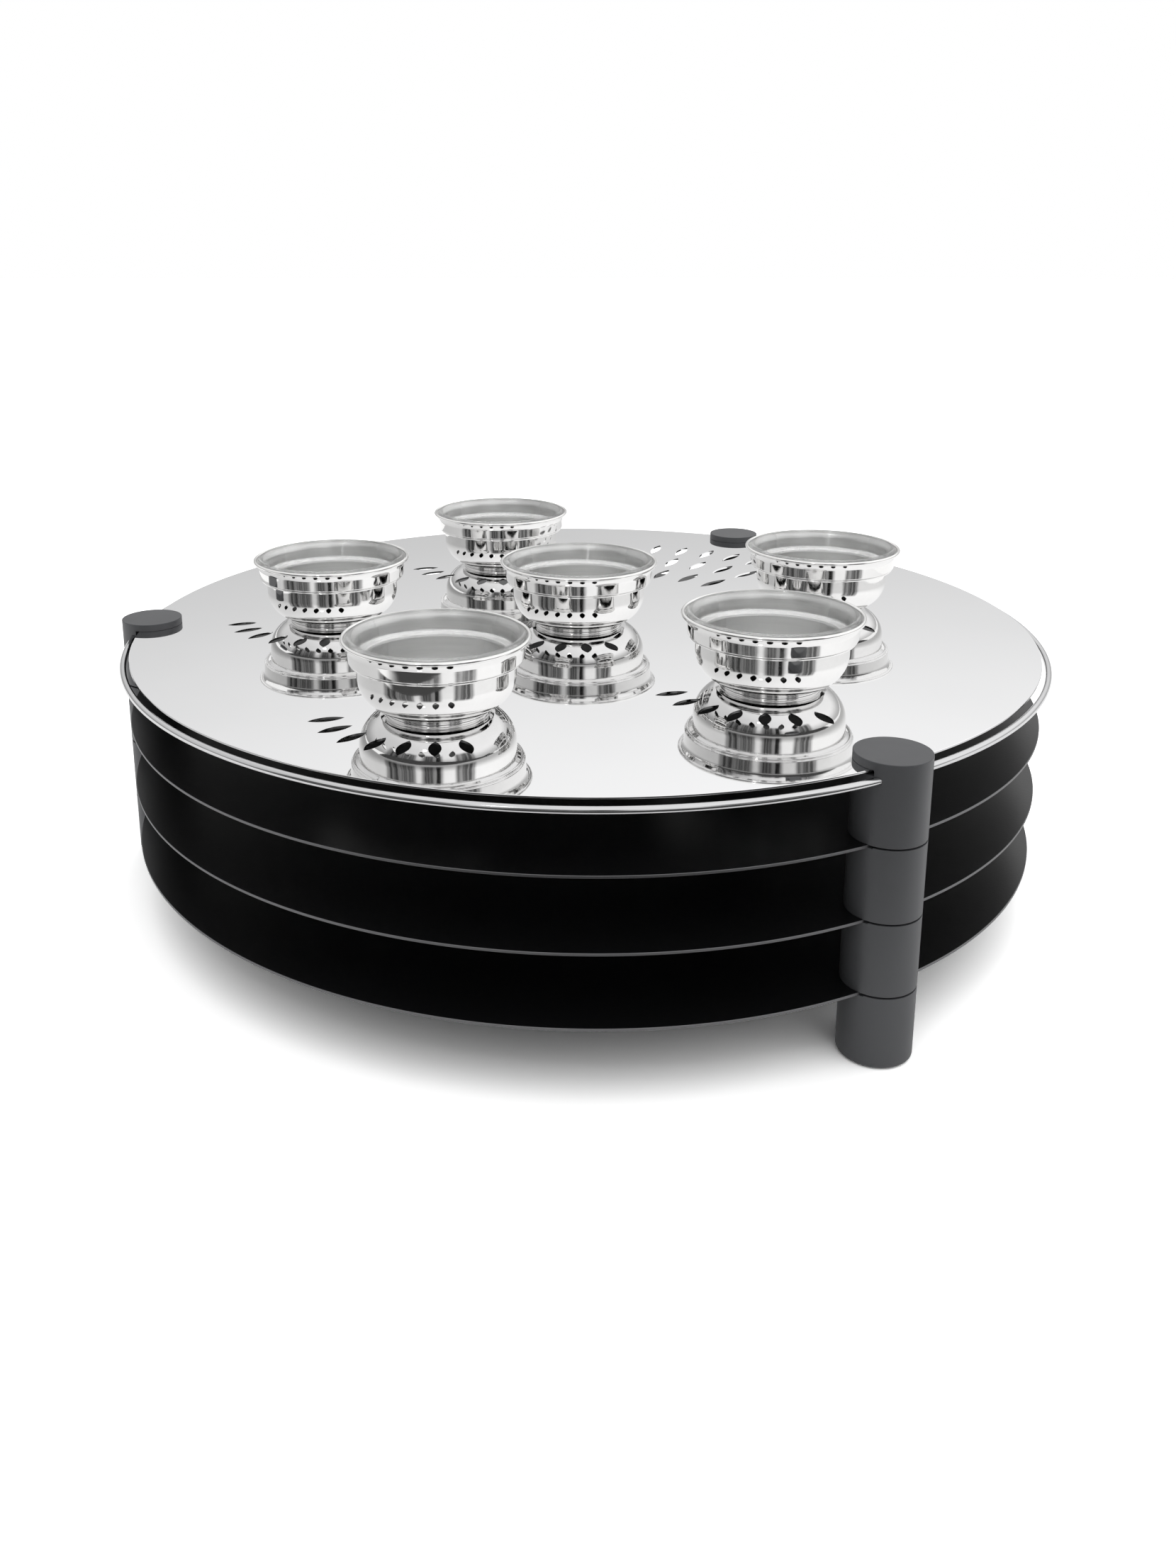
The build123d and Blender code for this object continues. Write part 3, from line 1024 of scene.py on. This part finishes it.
def bowl_outline(sizes):
    """A bowl's section from the middle of its underside, up the outside and down the inside."""
    underside = sizes.foot_height
    floor = underside + sizes.wall
    outside = belly_arc(sizes, sizes.belly_round, underside)
    inside = belly_arc(sizes, sizes.belly_round - sizes.wall, floor)
    foot_reach = outside[0][0] - sizes.foot_inset
    foot_top = foot_reach - sizes.foot_waist
    foot = soften([
        (0, underside, 0),
        (foot_top - sizes.foot_top_width, underside, 0),
        (foot_reach - sizes.foot_width, 0, sizes.edge),
        (foot_reach, 0, sizes.edge),
        (foot_reach, sizes.foot_flange, sizes.edge),
        (foot_top, underside, sizes.foot_cove),
        (*outside[0], sizes.edge),
        (*outside[1], 0),
    ])
    step_start, step_end = step_ends(sizes)
    slope = atan2(sizes.step_height, sizes.band_overhang)
    bead_middle = step_start.lerp(step_end, sizes.bead_share)
    bead = arc(bead_middle, sizes.bead_roll_radius, slope - pi, slope, steps=14)
    side = soften([(*outside[-1], 0), (*step_start, sizes.edge), (*bead[0], 0)])
    band_top, lip_middle = neck_ends(sizes)
    lip_start = atan2(-sizes.lip_neck_height, -sizes.lip_flare)
    lip = arc(lip_middle, sizes.lip_roll_radius, lip_start, pi, steps=24)
    band = soften([
        (*bead[-1], 0),
        (*step_end, sizes.edge),
        (*band_top, sizes.neck_curve * sizes.lip_neck_height),
        (*lip[0], 0),
    ])
    step_lift = sizes.wall / 2
    inner_wall = [
        (band_top.x - sizes.wall, band_top.y),
        (step_end.x - sizes.wall, step_end.y + step_lift),
        (step_start.x - sizes.wall, step_start.y + step_lift),
    ]
    outer_wall = foot + outside[2:] + side[1:-1] + bead + band[1:-1] + lip
    return outer_wall + inner_wall + inside[::-1] + [(0, floor)]


def liner_outline(bowl, liner):
    """A liner's section from the middle of its underside, up the outside and down the inside."""
    floor = bowl.foot_height + bowl.wall
    setback = bowl.wall + liner.gap
    outer_radius = bowl.belly_round - setback
    outside = belly_arc(bowl, outer_radius, floor + liner.seat_gap)
    inside = belly_arc(bowl, outer_radius - liner.wall, floor + liner.wall)
    step_start, step_end = step_ends(bowl)
    band_top, lip_middle = neck_ends(bowl)
    rim_outside = lip_middle.x - bowl.lip_roll_radius - liner.gap
    rounding = liner.rim_width / 2
    rim_height = lip_middle.y + bowl.lip_roll_radius + liner.rise - rounding
    outer_wall = soften([
        (*outside[-1], 0),
        (step_start.x - setback, step_start.y + bowl.wall, bowl.edge),
        (step_end.x - setback, step_end.y + bowl.wall, bowl.edge),
        (band_top.x - setback, band_top.y, bowl.edge),
        (rim_outside, rim_height, 0),
    ])
    rim = arc((rim_outside - rounding, rim_height), rounding, 0, pi, steps=24)
    ledge_reach = inside[-1][0]
    ledge_height = step_start.y + liner.ledge_above_step
    ledge = soften([
        (*rim[-1], 0),
        (ledge_reach + liner.ledge_width, ledge_height + liner.ledge_rise, liner.ledge_rounding),
        (ledge_reach, ledge_height, liner.ledge_rounding),
        (*inside[-1], 0),
    ])
    walls = outside + outer_wall[1:-1] + rim + ledge[1:-1] + inside[::-1]
    return [(0, floor + liner.seat_gap)] + walls + [(0, floor + liner.wall)]


def on_plate():
    """Placings of the bowls, and of their liners, on the plate."""
    axes = {bowl: middle_of(f"{bowl}_bowl") for bowl in BOWL_NAMES}
    return {bowl: Matrix.Translation((axis.x, axis.y, plate_top)) for bowl, axis in axes.items()}


def finish_inside(bowl, axis, below):
    """Give a bowl's second finish to the faces below a height that look up or towards its axis."""

    def looks_in(face):
        outward = Vector((face.center.x - axis.x, face.center.y - axis.y, 0)).normalized()
        return face.center.z < below and face.normal.dot(outward) < INSIDE_LEAN * face.normal.z

    second_finish(bowl, looks_in)


class SEDER_OT_bowls(bpy.types.Operator):
    """Spin the six footed silver bowls"""

    bl_idname = "seder.bowls"
    bl_label = "Silver bowls"

    def execute(self, context):
        sizes = context.scene.seder_bowl
        bowl = turn("bowl", bowl_outline(sizes), sizes.facets)
        finishes = (finish(polished_silver), finish(satin_silver))
        copies = set_out(bowl, "bowl", "spun", on_plate(), "bowl_silver", *finishes)
        lip_base = plate_top + neck_ends(sizes)[1].y - sizes.lip_roll_radius
        for place, copy in copies.items():
            finish_inside(copy, middle_of(f"{place}_bowl"), lip_base)
        return {"FINISHED"}


class SEDER_OT_liners(bpy.types.Operator):
    """Press the six glass liners"""

    bl_idname = "seder.liners"
    bl_label = "Glass liners"

    def execute(self, context):
        bowl = context.scene.seder_bowl
        liner = turn("liner", liner_outline(bowl, context.scene.seder_liner), bowl.facets)
        set_out(liner, "liner", "pressed", on_plate(), "liner_glass", finish(clear_glass))
        return {"FINISHED"}


# Studio

def pale_floor(paint, studio):
    """A pale table that shows white where no shadow falls. Reflections end it towards the camera."""
    mirrored = paint.node("ShaderNodeLightPath", output="Is Glossy Ray")
    seen = paint.node("ShaderNodeLightPath", output="Is Camera Ray")
    grey = (studio.floor_grey, studio.floor_grey, studio.floor_grey, 1.0)
    paper = paint.node("ShaderNodeBsdfDiffuse", None, {"Color": grey})
    exposure = paint.node("ShaderNodeMixShader", None, {0: seen * studio.floor_gain, 2: paper})
    lift = paint.node("ShaderNodeEmission", None, {"Strength": mirrored * studio.floor_lift})
    table = paint.node("ShaderNodeAddShader", None, {0: paper, 1: exposure})
    table = paint.node("ShaderNodeAddShader", None, {0: table, 1: lift})
    room = paint.node("ShaderNodeEmission", None, {"Strength": studio.room_light})
    nearness = paint.place().along(towards_camera(studio, 0, 0))
    edge, softness = studio.table_edge, studio.table_edge_softness
    beyond = nearness.ramp(edge - softness, edge + softness) * mirrored
    return paint.node("ShaderNodeMixShader", None, {0: beyond, 1: table, 2: room})


def towards_camera(studio, bearing, elevation):
    """Direction at a bearing from the camera's side of the plate, to the right of it if positive."""
    turned = studio.heading - pi / 2 + bearing
    flat = cos(elevation)
    return Vector((cos(turned) * flat, sin(turned) * flat, sin(elevation)))


def studio_sky(sky, studio):
    """White to the eye. To the object, a backdrop that brightens upwards, and dark flags near the camera."""
    direction = sky.node("ShaderNodeTexCoord", output="Generated")
    front = direction.along(towards_camera(studio, 0, 0))
    side = direction.along(towards_camera(studio, pi / 2, 0))
    elevation = sky.math("ARCSINE", direction.along((0, 0, 1)))
    bearing = sky.math("ARCTAN2", side, front)
    backdrop = elevation.ramp(studio.sky_turn_low, studio.sky_turn_high, studio.sky_low, studio.sky_high)
    backdrop = backdrop * (1.0 + studio.sky_lean * side)
    ceiling = elevation.ramp(studio.zenith_low, studio.zenith_high, 0.0, studio.zenith - studio.sky_high)
    near_camera = sky.math("MAXIMUM", front, 0.0) * elevation.ramp(0.0, studio.zenith_low)
    mirrored = sky.node("ShaderNodeLightPath", output="Is Glossy Ray")
    shown = 1.0 - (1.0 - studio.zenith_mirrored) * mirrored
    light = (ceiling * shown + backdrop) * (1.0 + studio.zenith_lean * near_camera * shown)
    streaks = sky.node(
        "ShaderNodeTexNoise",
        {"noise_dimensions": "1D"},
        {"W": bearing, "Scale": studio.clutter, "Detail": 3.0},
    )
    heights = elevation.within(studio.flag_bottom, studio.flag_top, studio.flag_softness)
    heights = heights * streaks.ramp(low=0.35, high=0.6, start=0.7, end=1.0)
    for flag in ("left", "middle", "right"):
        start = getattr(studio, f"{flag}_flag_start")
        end = getattr(studio, f"{flag}_flag_end")
        stopped = getattr(studio, f"{flag}_flag_share")
        light = light * (1.0 - stopped * bearing.within(start, end, studio.flag_softness) * heights)
    seen = sky.node("ShaderNodeLightPath", output="Is Camera Ray")
    inputs = {"Color": (1.0, 1.0, 1.0, 1.0), "Strength": seen + light * (1.0 - seen)}
    return sky.node("ShaderNodeBackground", None, inputs)


def lay_floor(studio):
    """Lay the floor at the feet."""
    deselect()
    bpy.ops.mesh.primitive_plane_add(size=studio.floor_size, location=(0, 0, cad_low.z))
    floor = added("studio_floor")
    material = bpy.data.materials.new("pale_floor")
    wire_up(material, "ShaderNodeOutputMaterial", pale_floor, studio)
    floor.data.materials.append(material)


def light_studio(studio):
    """Hang the sky and the one small lamp."""
    world = bpy.data.worlds.new("studio_sky")
    wire_up(world, "ShaderNodeOutputWorld", studio_sky, studio)
    bpy.context.scene.world = world
    direction = towards_camera(studio, studio.lamp_bearing, studio.lamp_elevation)
    light = bpy.data.lights.new("lamp", "AREA")
    light.size = studio.lamp_size
    light.energy = studio.lamp_power
    lamp = bpy.data.objects.new("lamp", light)
    bpy.context.scene.collection.objects.link(lamp)
    lamp.location = Vector((0, 0, plate_top)) + direction * studio.lamp_distance
    lamp.rotation_euler = direction.to_track_quat("Z", "Y").to_euler()


def set_camera(studio):
    """Put the camera where the photograph was taken from."""
    lens = bpy.data.cameras.new("camera")
    lens.sensor_fit = "HORIZONTAL"
    lens.sensor_width = SENSOR_WIDTH
    lens.lens = studio.focal_pixels / IMAGE_WIDTH * SENSOR_WIDTH
    lens.shift_x = (IMAGE_WIDTH / 2 - studio.centre_column) / IMAGE_WIDTH
    lens.shift_y = (studio.centre_row - IMAGE_HEIGHT / 2) / IMAGE_WIDTH
    lens.clip_start = 10 * MM
    camera = bpy.data.objects.new("camera", lens)
    bpy.context.scene.collection.objects.link(camera)
    place = Matrix.Translation((studio.camera_x, studio.camera_y, studio.camera_z))
    heading = Matrix.Rotation(studio.heading, 4, "Z")
    tilt = Matrix.Rotation(pi / 2 - studio.pitch, 4, "X")
    roll = Matrix.Rotation(studio.roll, 4, "Z")
    camera.matrix_world = place @ heading @ tilt @ roll
    bpy.context.scene.camera = camera


class SEDER_OT_studio(bpy.types.Operator):
    """Set up the floor, the light and the camera"""

    bl_idname = "seder.studio"
    bl_label = "Studio"

    def execute(self, context):
        studio = context.scene.seder_studio
        lay_floor(studio)
        light_studio(studio)
        set_camera(studio)
        context.scene.view_settings.view_transform = "Standard"
        return {"FINISHED"}


# Add-on

class SEDER_PT_sidebar(bpy.types.Panel):
    """Lists the seder plate's settings and the pieces to model"""

    bl_idname = "SEDER_PT_sidebar"
    bl_label = "Seder plate"
    bl_space_type = "VIEW_3D"
    bl_region_type = "UI"
    bl_category = "Seder Plate"

    def draw(self, context):
        for name, group in SETTINGS.items():
            box = self.layout.box()
            box.label(text=group.__name__)
            for setting in group.__annotations__:
                box.prop(getattr(context.scene, name), setting)
        for operator in OPERATORS:
            self.layout.operator(operator.bl_idname)


SETTINGS = {
    "seder_stand": StandSizes,
    "seder_piercing": PiercingSizes,
    "seder_bowl": BowlSizes,
    "seder_liner": LinerSizes,
    "seder_finishes": Finishes,
    "seder_studio": StudioSettings,
}
OPERATORS = (
    SEDER_OT_posts,
    SEDER_OT_foot_pads,
    SEDER_OT_hidden_fittings,
    SEDER_OT_shelves,
    SEDER_OT_plate,
    SEDER_OT_ring,
    SEDER_OT_bowls,
    SEDER_OT_liners,
    SEDER_OT_studio,
)


def register():
    for group in SETTINGS.values():
        bpy.utils.register_class(group)
    for name, group in SETTINGS.items():
        setattr(bpy.types.Scene, name, bpy.props.PointerProperty(type=group))
    for operator in OPERATORS:
        bpy.utils.register_class(operator)
    bpy.utils.register_class(SEDER_PT_sidebar)


def unregister():
    bpy.utils.unregister_class(SEDER_PT_sidebar)
    for operator in reversed(OPERATORS):
        bpy.utils.unregister_class(operator)
    for name in SETTINGS:
        delattr(bpy.types.Scene, name)
    for group in reversed(SETTINGS.values()):
        bpy.utils.unregister_class(group)


def main():
    register()
    bpy.ops.seder.posts()
    bpy.ops.seder.foot_pads()
    bpy.ops.seder.hidden_fittings()
    bpy.ops.seder.shelves()
    bpy.ops.seder.plate()
    bpy.ops.seder.ring()
    bpy.ops.seder.bowls()
    bpy.ops.seder.liners()
    bpy.ops.seder.studio()


if __name__ == "__main__":
    main()
